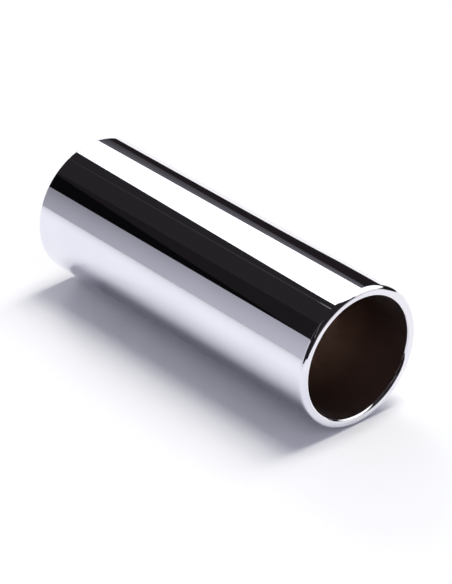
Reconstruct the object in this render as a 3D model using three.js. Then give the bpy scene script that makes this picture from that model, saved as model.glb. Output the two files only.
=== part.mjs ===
// A guitar slide: a short steel tube with a rounded mouth, plated bright outside and bare inside. It lies on
// its side along X, with the rounded mouth at +X, the plain end at -X and the floor at Z = 0.

import * as THREE from 'three';

// Driving dimensions, in millimetres.
const boreDiameter = 19; // the finger's hole
const wall = 1.5; // from the bore to the finished playing surface
const slideLength = 60; // from the plain end to the front of the mouth
const edgeRound = 0.2; // broken edges of the plain end
const platingThickness = 0.03; // nickel and chrome together

// How finely the round shapes are cut. Facets go round the tube, in fours so that one lies flat below.
const facets = 48;
const mouthSteps = 12;
const edgeSteps = 2;

// Sizes that follow from the ones above.
const boreRadius = boreDiameter / 2;
const bodyRadius = boreRadius + wall;
const mouthRound = wall / 2;
const endPlane = - slideLength / 2;
const quarter = Math.PI / 2;

// Points of an arc in the tube's section. An angle of zero looks along the tube towards the mouth, and a
// quarter turn looks away from the tube's axis.
function arc( centre, radius, from, to, steps ) {

	const points = [];

	for ( let i = 0; i <= steps; i ++ ) {

		const angle = from + ( to - from ) * i / steps;
		const out = centre.out + radius * Math.sin( angle );
		const along = centre.along + radius * Math.cos( angle );
		points.push( new THREE.Vector2( out, along ) );

	}

	return points;

}

// The mouth is a full half round, from the bore's edge over the front to the outside.
function mouthOutline( depth ) {

	const centre = { out: boreRadius + mouthRound, along: slideLength / 2 - mouthRound };

	return arc( centre, mouthRound - depth, - quarter, quarter, mouthSteps );

}

// The plain end is cut square, and both its edges are lightly broken.
function plainEndOutline( depth ) {

	const outer = { out: bodyRadius - edgeRound, along: endPlane + edgeRound };
	const inner = { out: boreRadius + edgeRound, along: endPlane + edgeRound };

	return [
		...arc( outer, edgeRound - depth, quarter, 2 * quarter, edgeSteps ),
		...arc( inner, edgeRound - depth, 2 * quarter, 3 * quarter, edgeSteps ),
	];

}

// Everything that is plated, from the bore's edge in the mouth round the outside to its edge in the plain
// end, at a depth below the finished surface.
function platedOutline( depth ) {

	return [ ...mouthOutline( depth ), ...plainEndOutline( depth ) ];

}

// Turns a closed section round the axis, taken in reverse so that its faces point out of the metal. The
// corners stand out so that the flats lie on the true circle: the bore passes its full diameter, and the tube
// lies at its true height.
function turned( section ) {

	const cornerShare = 1 / Math.cos( Math.PI / facets );
	const profile = section.map( ( point ) => new THREE.Vector2( point.x * cornerShare, point.y ) ).reverse();
	profile.push( profile[ 0 ].clone() );

	return new THREE.LatheGeometry( profile, facets, Math.PI / facets );

}

// The tube is bare in the bore. Under the plating it is smaller by the plating's thickness, so it has a fine
// shoulder at each end of the bore where the plating stops.
function steelTube() {

	const plated = platedOutline( platingThickness );
	const plainEdge = new THREE.Vector2( boreRadius, plated.at( - 1 ).y );
	const mouthEdge = new THREE.Vector2( boreRadius, plated[ 0 ].y );
	const material = new THREE.MeshStandardMaterial( { color: 0x5f5346, roughness: 0.45, metalness: 1 } );
	const mesh = new THREE.Mesh( turned( [ ...plated, plainEdge, mouthEdge ] ), material );
	mesh.name = 'steel_tube';

	return mesh;

}

// The plating is one unbroken skin over the outside, the rounded mouth and the plain end's face.
function chromePlating() {

	const finished = platedOutline( 0 );
	const underside = platedOutline( platingThickness ).reverse();
	const material = new THREE.MeshStandardMaterial( { color: 0xe4e5ea, roughness: 0.04, metalness: 1 } );
	const mesh = new THREE.Mesh( turned( [ ...finished, ...underside ] ), material );
	mesh.name = 'chrome_plating';

	return mesh;

}

// The turned pieces stand on Y, so they are laid down along X and raised until they touch the floor.
const slide = new THREE.Group();
slide.add( steelTube(), chromePlating() );
slide.rotation.z = - quarter;
slide.position.z = bodyRadius;

export default slide;
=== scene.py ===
import math

import bpy
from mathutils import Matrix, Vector


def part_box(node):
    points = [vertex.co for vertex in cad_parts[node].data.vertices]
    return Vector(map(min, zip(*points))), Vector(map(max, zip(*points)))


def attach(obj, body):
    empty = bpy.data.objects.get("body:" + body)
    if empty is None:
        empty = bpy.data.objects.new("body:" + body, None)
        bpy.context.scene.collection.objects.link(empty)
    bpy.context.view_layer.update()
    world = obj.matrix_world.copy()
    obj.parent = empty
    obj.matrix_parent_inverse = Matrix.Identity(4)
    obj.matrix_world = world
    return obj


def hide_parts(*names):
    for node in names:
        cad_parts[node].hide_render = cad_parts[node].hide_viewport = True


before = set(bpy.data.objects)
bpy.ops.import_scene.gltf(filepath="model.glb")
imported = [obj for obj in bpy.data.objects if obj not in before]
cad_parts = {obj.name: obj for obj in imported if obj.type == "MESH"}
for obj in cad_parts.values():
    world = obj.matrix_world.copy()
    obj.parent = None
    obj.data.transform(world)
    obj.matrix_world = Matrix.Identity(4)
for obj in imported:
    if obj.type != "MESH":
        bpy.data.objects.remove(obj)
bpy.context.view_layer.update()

# Guitar slide: a short steel tube with a rounded mouth, bright plated outside and bare inside.
# It lies on its side along X with the mouth at +X. Everything is in metres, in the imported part's own frame.

mm = 0.001
print("slide: packed frame loaded")


# Shape of the slide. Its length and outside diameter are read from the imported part.
slideShape = {
    "wall": 1.5 * mm,  # from the bore to the finished playing surface
    "mouthInside": 0.56 * mm,  # radius of the mouth's edge towards the bore
    "edgeRound": 0.2 * mm,  # broken edges of the plain end
    "platingThickness": 0.03 * mm,
    "segments": 288,  # round the tube
    "mouthSteps": 32,  # in each of the mouth's two arcs
    "edgeSteps": 8,
    "ringSpacing": 2 * mm,  # along the straight stretches
    "firstRing": 0.05 * mm,  # close to both ends of a straight stretch
    "sharpAngle": math.radians(40),  # edges that turn by more than this stay sharp
}

platingLow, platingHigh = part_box("chrome_plating")
mouthPlane = platingHigh.x
endPlane = platingLow.x
bodyRadius = (platingHigh.z - platingLow.z) / 2
axisHeight = (platingHigh.z + platingLow.z) / 2
boreRadius = bodyRadius - slideShape["wall"]
quarter = math.pi / 2


# Points (along, out) of an arc in the tube's section. Zero looks along the tube towards the mouth, and a
# quarter turn looks away from the tube's axis.
def arc(along, out, radius, start, stop, steps):
    angles = [start + (stop - start) * i / steps for i in range(steps + 1)]
    return [(along + radius * math.cos(a), out + radius * math.sin(a)) for a in angles]


# Rings along a straight stretch, close together at both ends so that the shading there stays true.
def straight(start, stop, out):
    reach = stop - start
    nearEnd = math.copysign(slideShape["firstRing"], reach)
    rings = max(2, round(abs(reach) / slideShape["ringSpacing"]))
    inner = [start + nearEnd + (reach - 2 * nearEnd) * i / rings for i in range(rings + 1)]
    return [(along, out) for along in inner]


# The mouth is rounded over, from the bore's edge round the front to the outside. The outside takes half the
# wall, and the edge towards the bore is a little tighter.
def mouthOutline(depth):
    inside = slideShape["mouthInside"]
    outside = slideShape["wall"] / 2
    steps = slideShape["mouthSteps"]
    inner = arc(mouthPlane - inside, boreRadius + inside, inside - depth, -quarter, 0, steps)
    outer = arc(mouthPlane - outside, bodyRadius - outside, outside - depth, 0, quarter, steps)
    return inner + outer


# The plain end is cut square with both edges lightly broken.
def plainEndOutline(depth):
    edge = slideShape["edgeRound"]
    steps = slideShape["edgeSteps"]
    outer = arc(endPlane + edge, bodyRadius - edge, edge - depth, quarter, 2 * quarter, steps)
    inner = arc(endPlane + edge, boreRadius + edge, edge - depth, 2 * quarter, 3 * quarter, steps)
    return outer + inner


# Everything that is plated, at a depth below the finished surface.
def platedOutline(depth):
    mouth = mouthOutline(depth)
    end = plainEndOutline(depth)
    body = straight(mouth[-1][0], end[0][0], bodyRadius - depth)
    return mouth + body + end


# Turns a closed outline of (along, out) points round the tube's axis.
def turnedMesh(name, outline):
    segments = slideShape["segments"]
    count = len(outline)
    points = []
    for i in range(segments):
        turn = 2 * math.pi * i / segments
        for along, out in outline:
            points.append((along, out * math.cos(turn), axisHeight + out * math.sin(turn)))
    faces = []
    for i in range(segments):
        this = i * count
        following = (i + 1) % segments * count
        for j in range(count):
            k = (j + 1) % count
            faces.append((this + j, this + k, following + k, following + j))
    mesh = bpy.data.meshes.new(name)
    mesh.from_pydata(points, [], faces)
    mesh.validate()
    for face in mesh.polygons:
        face.use_smooth = True
    mesh.set_sharp_from_angle(angle=slideShape["sharpAngle"])
    piece = bpy.data.objects.new(name, mesh)
    bpy.context.scene.collection.objects.link(piece)
    return piece


# Small helpers for the materials
def newMaterial(name):
    material = bpy.data.materials.new(name)
    material.use_nodes = True
    tree = material.node_tree
    return material, tree, tree.nodes["Principled BSDF"]


def addNode(tree, kind, **values):
    node = tree.nodes.new(kind)
    for key, value in values.items():
        setattr(node, key, value)
    return node


# One number worked out from two others
def combine(tree, operation, first, second):
    node = addNode(tree, "ShaderNodeMath", operation=operation)
    tree.links.new(first, node.inputs[0])
    tree.links.new(second, node.inputs[1])
    return node.outputs["Value"]


# The X, Y and Z of a point on its own object
def ownPlace(tree):
    place = addNode(tree, "ShaderNodeTexCoord")
    parts = addNode(tree, "ShaderNodeSeparateXYZ")
    tree.links.new(place.outputs["Object"], parts.inputs["Vector"])
    return parts.outputs


# Noise stretched along the tube's own axes, with so many marks per metre along x, y and z
def grain(tree, pattern):
    place = addNode(tree, "ShaderNodeTexCoord")
    stretch = addNode(tree, "ShaderNodeMapping")
    stretch.inputs["Scale"].default_value = pattern["perMetre"]
    noise = addNode(tree, "ShaderNodeTexNoise")
    noise.inputs["Scale"].default_value = 1.0  # the mapping gives the marks their size
    noise.inputs["Detail"].default_value = pattern["detail"]
    noise.inputs["Roughness"].default_value = pattern["roughness"]
    tree.links.new(place.outputs["Object"], stretch.inputs["Vector"])
    tree.links.new(stretch.outputs["Vector"], noise.inputs["Vector"])
    return noise.outputs["Fac"]


noiseLow = 0.3  # nearly all of a noise pattern lies between these two
noiseHigh = 0.7


# Turns a range of a pattern or a distance into the range between two other values
def spread(tree, source, low, high, fromLow=noiseLow, fromHigh=noiseHigh):
    node = addNode(tree, "ShaderNodeMapRange")
    node.inputs["From Min"].default_value = fromLow
    node.inputs["From Max"].default_value = fromHigh
    node.inputs["To Min"].default_value = low
    node.inputs["To Max"].default_value = high
    tree.links.new(source, node.inputs["Value"])
    return node.outputs["Result"]


def blendColours(tree, source, first, second):
    node = addNode(tree, "ShaderNodeMix", data_type="RGBA")
    node.inputs["A"].default_value = (*first, 1)
    node.inputs["B"].default_value = (*second, 1)
    tree.links.new(source, node.inputs["Factor"])
    return node.outputs["Result"]


# One where the factor is nought, and the given value where it is one
def fadeFromOne(tree, factor, value):
    node = addNode(tree, "ShaderNodeMix", data_type="FLOAT")
    node.inputs["A"].default_value = 1.0
    tree.links.new(factor, node.inputs["Factor"])
    tree.links.new(value, node.inputs["B"])
    return node.outputs["Result"]


# Fine relief that follows a pattern
def relief(tree, shader, pattern, strength, height):
    bump = addNode(tree, "ShaderNodeBump")
    bump.inputs["Strength"].default_value = strength
    bump.inputs["Distance"].default_value = height
    tree.links.new(pattern, bump.inputs["Height"])
    tree.links.new(bump.outputs["Normal"], shader.inputs["Normal"])


# Bright plating: nickel under chrome, a cool mirror with the faint rings of its polishing
brightChrome = {
    "colour": (0.80, 0.80, 0.865),
    "cloudedColour": (0.775, 0.775, 0.845),
    "smoothest": 0.012,
    "dullest": 0.035,
    "clouds": {"perMetre": (90, 140, 140), "detail": 3.0, "roughness": 0.5},
    "rings": {"perMetre": (9000, 40, 40), "detail": 4.0, "roughness": 0.6},  # round the tube
    "ringStrength": 0.004,
    "ringHeight": 0.01 * mm,
}


def chromeMaterial():
    look = brightChrome
    material, tree, shader = newMaterial("bright_chrome")
    clouds = grain(tree, look["clouds"])
    rings = grain(tree, look["rings"])
    colour = blendColours(tree, spread(tree, clouds, 0, 1), look["colour"], look["cloudedColour"])
    tree.links.new(colour, shader.inputs["Base Color"])
    tree.links.new(spread(tree, clouds, look["smoothest"], look["dullest"]), shader.inputs["Roughness"])
    shader.inputs["Metallic"].default_value = 1.0
    relief(tree, shader, rings, look["ringStrength"], look["ringHeight"])
    return material


# Bare steel of the bore: drawn and stained, paler deep in the bore and darker towards the mouth, with streaks
# along the tube
bareSteel = {
    "mouthwardColour": (0.265, 0.195, 0.182),
    "paleColour": (0.69, 0.56, 0.46),
    "mouthwardFrom": 0.022,  # place along the tube, where the pale colour ends
    "paleUpTo": 0.008,
    "leastPale": 0.3,  # share of the pale colour in the darkest stains
    "smoothest": 0.34,
    "dullest": 0.50,
    "streaks": {"perMetre": (60, 2600, 2600), "detail": 3.0, "roughness": 0.55},  # along the tube
    "streakStrength": 0.35,
    "streakHeight": 0.02 * mm,
    "stains": {"perMetre": (160, 260, 260), "detail": 4.0, "roughness": 0.55},
}


def steelMaterial():
    look = bareSteel
    material, tree, shader = newMaterial("bare_steel")
    stains = grain(tree, look["stains"])
    streaks = grain(tree, look["streaks"])
    inside = spread(tree, ownPlace(tree)["X"], 1, 0, look["paleUpTo"], look["mouthwardFrom"])
    pale = combine(tree, "MULTIPLY", inside, spread(tree, stains, look["leastPale"], 1))
    colour = blendColours(tree, pale, look["mouthwardColour"], look["paleColour"])
    tree.links.new(colour, shader.inputs["Base Color"])
    tree.links.new(spread(tree, streaks, look["smoothest"], look["dullest"]), shader.inputs["Roughness"])
    shader.inputs["Metallic"].default_value = 1.0
    relief(tree, shader, streaks, look["streakStrength"], look["streakHeight"])
    return material


# The plating is one skin over the outside, the rounded mouth and the plain end's face.
def chromePlating():
    finished = platedOutline(0)
    underside = platedOutline(slideShape["platingThickness"])
    piece = turnedMesh("chrome_skin", finished + underside[::-1])
    piece.data.materials.append(chromeMaterial())
    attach(piece, "root")
    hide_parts("chrome_plating")
    print("slide: chrome skin made")


# The weld seam of the drawn tube: a fine groove along the bore
weldSeam = {
    "turn": math.radians(20),  # round the bore, from +Y up
    "width": 0.5 * mm,
    "depth": 0.07 * mm,
    "reach": 0.001 * mm,  # how near the bore's surface a point must lie to belong to it
}


def cutSeam(piece):
    halfWidth = weldSeam["width"] / 2
    for point in piece.data.vertices:
        across = Vector((0, point.co.y, point.co.z - axisHeight))
        if abs(across.length - boreRadius) > weldSeam["reach"]:
            continue
        turn = math.atan2(across.z, across.y) - weldSeam["turn"]
        aside = abs(math.remainder(turn, 2 * math.pi)) * boreRadius
        if aside < halfWidth:
            point.co += across.normalized() * weldSeam["depth"] * (1 - (aside / halfWidth) ** 2)


# The tube lies under the plating, with a fine shoulder at each end of its bare bore where the plating stops.
def bareTube():
    plated = platedOutline(slideShape["platingThickness"])
    bore = straight(plated[-1][0], plated[0][0], boreRadius)
    shoulders = [(plated[-1][0], boreRadius)] + bore + [(plated[0][0], boreRadius)]
    piece = turnedMesh("bare_tube", plated + shoulders)
    cutSeam(piece)
    piece.data.materials.append(steelMaterial())
    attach(piece, "root")
    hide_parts("steel_tube")
    print("slide: bare tube made")


chromePlating()
bareTube()


# Helpers for the sheet and the cards of the studio: the corners of a level rectangle, of a level outline and
# of an outline of (x, z) points that faces along Y
def flat(x0, y0, x1, y1, height):
    return [(x0, y0, height), (x1, y0, height), (x1, y1, height), (x0, y1, height)]


def level(outline, height):
    return [(x, y, height) for x, y in outline]


def facing(outline, y):
    return [(x, y, z) for x, z in outline]


def stagePiece(name, corners, material):
    mesh = bpy.data.meshes.new(name)
    mesh.from_pydata(corners, [], [tuple(range(len(corners)))])
    mesh.materials.append(material)
    piece = bpy.data.objects.new(name, mesh)
    bpy.context.scene.collection.objects.link(piece)
    return piece


# The table: a white sheet that the slide lies on. For the chrome only it gets painted shade, darker far off
# in front where less light falls, and a painted shadow that deepens the slide's shadow on it.
table = {
    "size": 6.0,
    "colour": (0.95, 0.95, 0.95),
    "brightUpTo": 0.050,  # distance in front at which the sheet starts to darken
    "darkFrom": 0.240,
    "farShare": 0.60,  # of the sheet's colour, from there on
    "shadowStarts": (-0.0270, -0.0220),  # place along the slide, where the deeper shadow fades in
    "shadowEnds": (0.0285, 0.0325),  # and out
    "shadowStops": (  # distance in front of the slide's middle and share of the sheet's colour
        (0.0046, 1.00),
        (0.0062, 0.80),
        (0.0076, 0.59),
        (0.0100, 0.58),
        (0.0126, 0.74),
        (0.0165, 0.86),
        (0.0240, 0.94),
        (0.0340, 1.00),
    ),
}


# Share of the sheet's colour that the painted shadow leaves in the chrome, where it deepens the slide's
# shadow
def shadowShare(tree, place):
    reach = table["shadowStops"][-1][0]
    ahead = addNode(tree, "ShaderNodeMath", operation="MULTIPLY")
    ahead.inputs[1].default_value = -1 / reach
    tree.links.new(place["Y"], ahead.inputs[0])
    ramp = addNode(tree, "ShaderNodeValToRGB")
    stops = ramp.color_ramp.elements
    while len(stops) < len(table["shadowStops"]):
        stops.new(0.5)  # anywhere, because each stop is moved to its place below
    for stop, (distance, share) in zip(stops, table["shadowStops"]):
        stop.position = distance / reach
        stop.color = (share, share, share, 1)
    tree.links.new(ahead.outputs["Value"], ramp.inputs["Fac"])
    fadeIn = spread(tree, place["X"], 0, 1, *table["shadowStarts"])
    fadeOut = spread(tree, place["X"], 1, 0, *table["shadowEnds"])
    along = combine(tree, "MULTIPLY", fadeIn, fadeOut)
    return fadeFromOne(tree, along, ramp.outputs["Color"])


def tableMaterial():
    material, tree, shader = newMaterial("white_sheet")
    rays = addNode(tree, "ShaderNodeLightPath")
    place = ownPlace(tree)
    # Painted shade and shadow that only the chrome sees: darker far off in front, deeper in the slide's
    # shadow
    farther = spread(tree, place["Y"], table["farShare"], 1, -table["darkFrom"], -table["brightUpTo"])
    mirrored = combine(tree, "MULTIPLY", farther, shadowShare(tree, place))
    shade = fadeFromOne(tree, rays.outputs["Is Glossy Ray"], mirrored)
    tint = addNode(tree, "ShaderNodeVectorMath", operation="SCALE")
    tint.inputs[0].default_value = table["colour"]
    tree.links.new(shade, tint.inputs["Scale"])
    tree.links.new(tint.outputs["Vector"], shader.inputs["Base Color"])
    shader.inputs["Roughness"].default_value = 1.0
    shader.inputs["Specular IOR Level"].default_value = 0.0
    return material


def whiteSheet():
    half = table["size"] / 2
    stagePiece("white_sheet", flat(-half, -half, half, half, 0), tableMaterial())


# Cards round the table that only the chrome sees: painted reflections that glow with the light the studio's
# walls, cloths, stand and soft box would send. Each has corners and the brightness at each corner.
def cardMaterial():
    material = bpy.data.materials.new("studio_card")
    material.use_nodes = True
    tree = material.node_tree
    tree.nodes.clear()
    shine = addNode(tree, "ShaderNodeAttribute", attribute_name="shine")
    emission = addNode(tree, "ShaderNodeEmission")
    output = addNode(tree, "ShaderNodeOutputMaterial")
    tree.links.new(shine.outputs["Color"], emission.inputs["Color"])
    tree.links.new(emission.outputs["Emission"], output.inputs["Surface"])
    return material


def card(name, material, corners, shades):
    piece = stagePiece(name, corners, material)
    shine = piece.data.color_attributes.new("shine", "FLOAT_COLOR", "POINT")
    for i, shade in enumerate(shades):
        shine.data[i].color = (*shade, 1)
    piece.visible_camera = False
    piece.visible_diffuse = False
    piece.visible_shadow = False
    piece.visible_transmission = False


def evenCard(name, material, corners, shade):
    card(name, material, corners, [shade] * len(corners))


studio = {
    "dark": (0.0222, 0.0199, 0.0214),
    "roomHalf": 0.9,
    "roomTop": 0.9,
    "foot": -0.01,  # cards that stand on the sheet go a little below it
    "boxHeight": 0.300,  # of the soft box over the table
}


# The corners of a card that stands between two places on the sheet, with a height at each
def upright(start, end, startTop, endTop):
    foot = studio["foot"]
    return [(*start, foot), (*end, foot), (*end, endTop), (*start, startTop)]


# A dark room all round
def darkRoom(material):
    half = studio["roomHalf"]
    top = studio["roomTop"]
    ceiling = flat(-half, -half, half, half, top)
    for i, start in enumerate(ceiling):
        end = ceiling[(i + 1) % len(ceiling)]
        corners = upright(start[:2], end[:2], top, top)
        evenCard(f"room_wall_{i + 1}", material, corners, studio["dark"])
    evenCard("room_ceiling", material, ceiling, studio["dark"])


# The front of the studio: a grey wall that grows lighter to the right, black curtains over it, and in front
# of them a black corner and a lamp stand with its arm
frontWall = {
    "distance": 0.250,
    "height": 0.152,
    "stops": (  # place along the wall, with the brightness at its foot and at its head
        (-0.900, (0.38, 0.375, 0.42), (0.26, 0.255, 0.28)),
        (-0.287, (0.40, 0.395, 0.44), (0.28, 0.275, 0.31)),
        (-0.172, (0.59, 0.585, 0.64), (0.475, 0.47, 0.52)),
        (0.025, (0.85, 0.84, 0.90), (0.66, 0.65, 0.70)),
    ),
    "curtainEnds": (-0.90, 0.37),
    "curtainTop": 0.374,
    "curtainShade": (0.0140, 0.0115, 0.0130),
    "stand": ((-0.078, 0.152), (-0.062, 0.152), (-0.062, 0.470), (-0.078, 0.470)),  # (x, z) points
    "arm": ((-0.010, 0.405), (0.096, 0.317), (0.173, 0.271), (0.239, 0.216), (0.366, 0.190)),  # upper edge
    "armDrop": 0.024,  # from the arm's upper to its lower edge
    "standShade": (0.38, 0.36, 0.37),
    "cornerShade": (0.0030, 0.0030, 0.0035),
    "corner": (  # (x, z) points
        (-0.90, 0.15),
        (-0.19, 0.15),
        (-0.204, 0.158),
        (-0.239, 0.186),
        (-0.2825, 0.216),
        (-0.341, 0.265),
        (-0.403, 0.3135),
        (-0.90, 0.700),
    ),
    "gap": 0.001,  # between one card and the next behind it
}


def frontCards(material):
    look = frontWall
    y = -look["distance"]
    top = look["height"]
    for i in range(len(look["stops"]) - 1):
        (x0, foot0, head0), (x1, foot1, head1) = look["stops"][i:i + 2]
        corners = upright((x0, y), (x1, y), top, top)
        card(f"grey_wall_{i + 1}", material, corners, [foot0, foot1, head1, head0])
    y -= look["gap"]
    evenCard("lamp_stand", material, facing(look["stand"], y), look["standShade"])
    drop = look["armDrop"]
    for i in range(len(look["arm"]) - 1):
        (x0, z0), (x1, z1) = look["arm"][i:i + 2]
        corners = [(x0, y, z0 - drop), (x1, y, z1 - drop), (x1, y, z1), (x0, y, z0)]
        evenCard(f"lamp_arm_{i + 1}", material, corners, look["standShade"])
    y -= look["gap"]
    evenCard("black_corner", material, facing(look["corner"], y), look["cornerShade"])
    y -= look["gap"]
    left, right = look["curtainEnds"]
    top = look["curtainTop"]
    evenCard("curtain", material, upright((left, y), (right, y), top, top), look["curtainShade"])


# The soft box overhead
softBox = {
    "shade": (1.7, 1.7, 1.7),
    "outline": (  # (x, y) points
        (-0.620, 0.190),
        (-0.306, 0.053),
        (-0.280, 0.042),
        (-0.203, 0.010),
        (0.000, 0.012),
        (0.098, 0.030),
        (0.209, 0.077),
        (0.402, 0.195),
        (0.402, 0.420),
        (-0.620, 0.420),
    ),
}


def boxCards(material):
    evenCard("soft_box", material, level(softBox["outline"], studio["boxHeight"]), softBox["shade"])


# A black backdrop behind the table, with a glow along its top and a white wall over its right part
backDrop = {
    "distance": 0.420,
    "gap": 0.001,  # from the glow and the wall to the black drop behind them
    "ends": (-0.90, 0.27),
    "black": (0.016, 0.0125, 0.014),
    "glowEnds": (-0.52, -0.34),
    "glowRows": ((0.060, 0.200), (0.245, 0.230), (0.315, 0.285)),  # heights at both ends, from its foot up
    "glowShades": ((0.10, 0.097, 0.105), (0.15, 0.147, 0.158)),  # of the upper two rows
    "wall": (  # (x, z) points
        (-0.330, 0.200),
        (-0.290, 0.115),
        (-0.100, 0.140),
        (0.270, 0.160),
        (0.270, 0.300),
        (-0.330, 0.300),
    ),
    "wallShade": (1.35, 1.34, 1.28),
}


def backCards(material):
    look = backDrop
    y = look["distance"]
    dropY = y + look["gap"]
    left, right = look["ends"]
    top = studio["boxHeight"]
    evenCard("back_drop", material, upright((left, dropY), (right, dropY), top, top), look["black"])
    x0, x1 = look["glowEnds"]
    shades = (look["black"], *look["glowShades"])
    for i, name in enumerate(("back_glow", "back_edge")):
        (low0, low1), (high0, high1) = look["glowRows"][i:i + 2]
        corners = [(x0, y, low0), (x1, y, low1), (x1, y, high1), (x0, y, high0)]
        card(name, material, corners, [shades[i]] * 2 + [shades[i + 1]] * 2)
    evenCard("back_wall", material, facing(look["wall"], y), look["wallShade"])


# The side beyond the mouth: black in front, a low pale block close by, then a white wall up to the soft box
sideWalls = {
    "black": ((0.310, -0.254), (0.112, -0.050), (0.125, 0.000), (0.440, 0.270)),  # (x, y) places it stands on
    "blackTops": (0.50, 0.20, 0.20, 0.120),  # height at each place
    "low": ((0.105, -0.004), (0.110, 0.062)),
    "lowTops": (0.014, 0.040),
    "lowShade": (0.68, 0.65, 0.67),
    "white": ((0.402, 0.235), (0.270, 0.430)),  # as high as the soft box
    "whiteFoot": (0.60, 0.59, 0.60),
    "whiteTop": (1.55, 1.54, 1.47),
}


def sideCards(material):
    look = sideWalls
    for i in range(len(look["black"]) - 1):
        corners = upright(*look["black"][i:i + 2], *look["blackTops"][i:i + 2])
        evenCard(f"side_black_{i + 1}", material, corners, studio["dark"])
    evenCard("side_low", material, upright(*look["low"], *look["lowTops"]), look["lowShade"])
    top = studio["boxHeight"]
    shades = [look["whiteFoot"]] * 2 + [look["whiteTop"]] * 2
    card("side_white", material, upright(*look["white"], top, top), shades)


# Painted light that only the chrome sees: cards just over the sheet make it look more brightly lit than white
# paper behind the slide and beyond its mouth. A black cloth lies on the sheet far behind.
brightSheet = {
    "lift": 0.0003,  # over the sheet
    "reach": 0.90,  # how far both bright parts run
    "behind": 0.015,  # distance behind the slide's middle, where the part behind it starts
    "beyond": 0.034,  # place along the slide, where the part beyond its mouth starts
    "farBright": (1.055, 1.040, 1.035),  # behind the slide
    "bright": (1.142, 1.120, 1.095),  # beyond the mouth, at the back
    "plain": (0.98, 0.97, 0.97),  # beyond the mouth, in line with the slide
    "cloth": ((-0.030, 0.200), (-0.045, 0.420), (-0.350, 0.420), (-0.100, 0.150)),  # (x, y) points
    "clothLift": 0.0006,
}


def sheetCards(material):
    look = brightSheet
    far = look["reach"]
    near = look["behind"]
    lift = look["lift"]
    # Painted light on the sheet, seen only in the chrome
    evenCard("painted_light_behind", material, flat(-far, near, far, far, lift), look["farBright"])
    shades = [look["plain"]] * 2 + [look["bright"]] * 2
    card("painted_light_beyond", material, flat(look["beyond"], 0, far, near, lift), shades)
    evenCard("black_cloth", material, level(look["cloth"], look["clothLift"]), studio["dark"])


# A thin pale strip that draws the fine line in the dark part of the chrome, bright at its right end
paleStrip = {
    "near": -0.035,  # its edges in front of the slide's middle
    "far": -0.029,
    "height": 0.299,  # just under the soft box
    "stops": (  # place along the strip and the brightness there
        (-0.900, (0.040, 0.037, 0.042)),
        (-0.300, (0.040, 0.037, 0.042)),
        (-0.203, (0.060, 0.055, 0.062)),
        (-0.200, (0.300, 0.290, 0.290)),
        (-0.185, (0.300, 0.290, 0.290)),
    ),
}


def stripCards(material):
    look = paleStrip
    for i in range(len(look["stops"]) - 1):
        (left, leftShade), (right, rightShade) = look["stops"][i:i + 2]
        corners = flat(left, look["near"], right, look["far"], look["height"])
        shades = [leftShade, rightShade, rightShade, leftShade]
        card(f"strip_over_body_{i + 1}", material, corners, shades)


def buildStudio():
    whiteSheet()
    material = cardMaterial()
    darkRoom(material)
    frontCards(material)
    boxCards(material)
    backCards(material)
    sideCards(material)
    sheetCards(material)
    stripCards(material)
    print("slide: studio built")


buildStudio()


# Light on the table: four lamps in a row from overhead to the back, one from the far end, and an even
# bluish sky for the shadows
lighting = {
    "lamps": (  # name, degrees down from overhead, degrees round from +X, spread in degrees and strength
        ("lamp_overhead", 8, 90, 18, 0.908),
        ("lamp_behind", 20, 90, 18, 0.774),
        ("lamp_farther_behind", 32, 90, 18, 0.409),
        ("lamp_low_behind", 44, 90, 18, 0.161),
        ("lamp_far_end", 58.5, 155.5, 20, 0.440),
    ),
    "lampColour": (1.0, 1.0, 0.94),
    "sky": (0.353, 0.353, 0.441),
    "background": (1.0, 1.0, 1.0),
}


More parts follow.
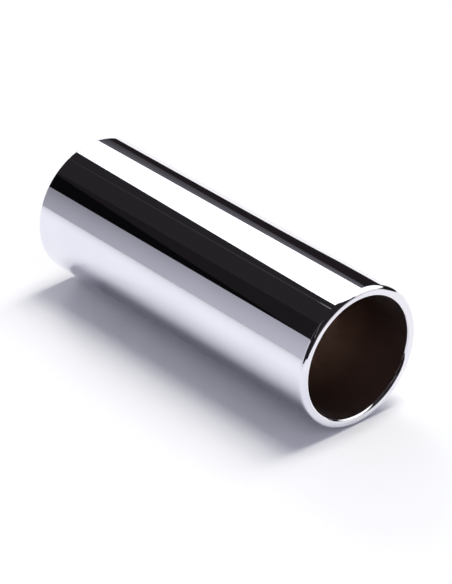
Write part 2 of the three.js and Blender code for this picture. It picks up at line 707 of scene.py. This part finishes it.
def softLamps():
    for name, downDegrees, roundDegrees, spreadDegrees, strength in lighting["lamps"]:
        light = bpy.data.lights.new(name, "SUN")
        light.energy = strength
        light.color = lighting["lampColour"]
        light.angle = math.radians(spreadDegrees)
        lamp = bpy.data.objects.new(name, light)
        bpy.context.scene.collection.objects.link(lamp)
        down = math.radians(downDegrees)
        aside = math.radians(roundDegrees)
        side = Vector((math.cos(aside), math.sin(aside), 0))
        towards = side * math.sin(down) + Vector((0, 0, math.cos(down)))
        lamp.rotation_mode = "QUATERNION"
        lamp.rotation_quaternion = towards.to_track_quat("Z", "Y")
        lamp.location = towards
        lamp.visible_glossy = False


# White for the camera and for mirrors, the sky's own colour for everything else
def studioWorld():
    world = bpy.data.worlds.new("studio_world")
    bpy.context.scene.world = world
    world.use_nodes = True
    tree = world.node_tree
    tree.nodes.clear()
    rays = addNode(tree, "ShaderNodeLightPath")
    mirrors = combine(tree, "MAXIMUM", rays.outputs["Is Glossy Ray"], rays.outputs["Is Transmission Ray"])
    seen = combine(tree, "MAXIMUM", mirrors, rays.outputs["Is Camera Ray"])
    sky = addNode(tree, "ShaderNodeBackground")
    sky.inputs["Color"].default_value = (*lighting["sky"], 1)
    white = addNode(tree, "ShaderNodeBackground")
    white.inputs["Color"].default_value = (*lighting["background"], 1)
    both = addNode(tree, "ShaderNodeMixShader")
    output = addNode(tree, "ShaderNodeOutputWorld")
    tree.links.new(seen, both.inputs[0])
    tree.links.new(sky.outputs["Background"], both.inputs[1])
    tree.links.new(white.outputs["Background"], both.inputs[2])
    tree.links.new(both.outputs["Shader"], output.inputs["Surface"])


softLamps()
studioWorld()
print("slide: lights set")


# The camera, fitted to the outlines of the photograph
view = {
    "place": (294.536 * mm, -251.884 * mm, 234.603 * mm),
    "aimedAt": (1.161 * mm, -0.213 * mm, 9.250 * mm),
    "lens": 186.44,  # focal length for the sensor's width, both in millimetres
    "sensorWidth": 36.0,
    "clipStart": 0.01,
    "clipEnd": 20.0,
}


def photoCamera():
    data = bpy.data.cameras.new("photo_camera")
    data.sensor_width = view["sensorWidth"]
    data.lens = view["lens"]
    data.clip_start = view["clipStart"]
    data.clip_end = view["clipEnd"]
    camera = bpy.data.objects.new("photo_camera", data)
    bpy.context.scene.collection.objects.link(camera)
    camera.location = view["place"]
    forward = Vector(view["aimedAt"]) - Vector(view["place"])
    camera.rotation_mode = "QUATERNION"
    camera.rotation_quaternion = forward.to_track_quat("-Z", "Y")
    bpy.context.scene.camera = camera


photoCamera()
bpy.context.scene.view_settings.view_transform = "Standard"
print("slide: camera placed")
